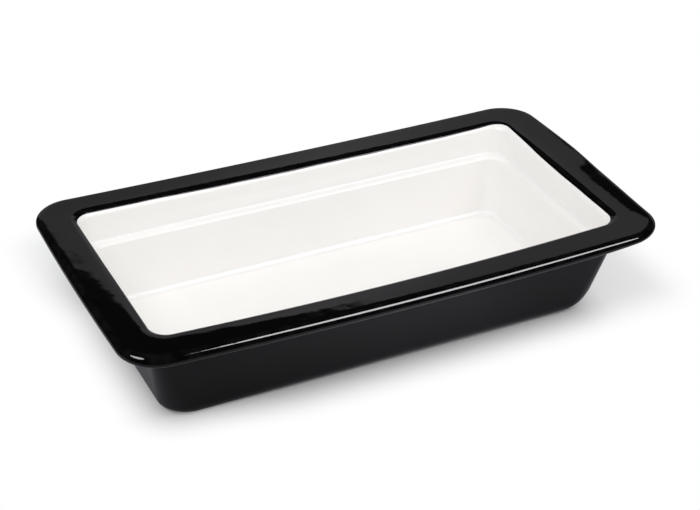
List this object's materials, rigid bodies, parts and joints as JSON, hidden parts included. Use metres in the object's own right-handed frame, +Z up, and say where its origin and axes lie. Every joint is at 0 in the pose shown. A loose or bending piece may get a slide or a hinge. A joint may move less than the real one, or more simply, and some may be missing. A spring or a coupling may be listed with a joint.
{
  "type": "porcelain gastronorm dish",
  "caption": "Deep rectangular porcelain dish with tapering walls, a ledge inside and a wide flat rim, glazed black outside and white inside.",
  "frame": {"origin": "middle of the foot's resting plane", "axes": "+X along the length, +Y across the width, +Z up out of the open basin"},
  "size_m": [0.3248, 0.176, 0.065],
  "materials": {
    "bare_porcelain": "matt, unglazed",
    "white_glaze": "gloss",
    "black_glaze": "high gloss"
  },
  "bodies": {
    "root": {"porcelain_body": "bare_porcelain", "white_basin_glaze": "white_glaze", "black_outer_glaze": "black_glaze", "black_base_glaze": "black_glaze"}
  },
  "joints": []
}
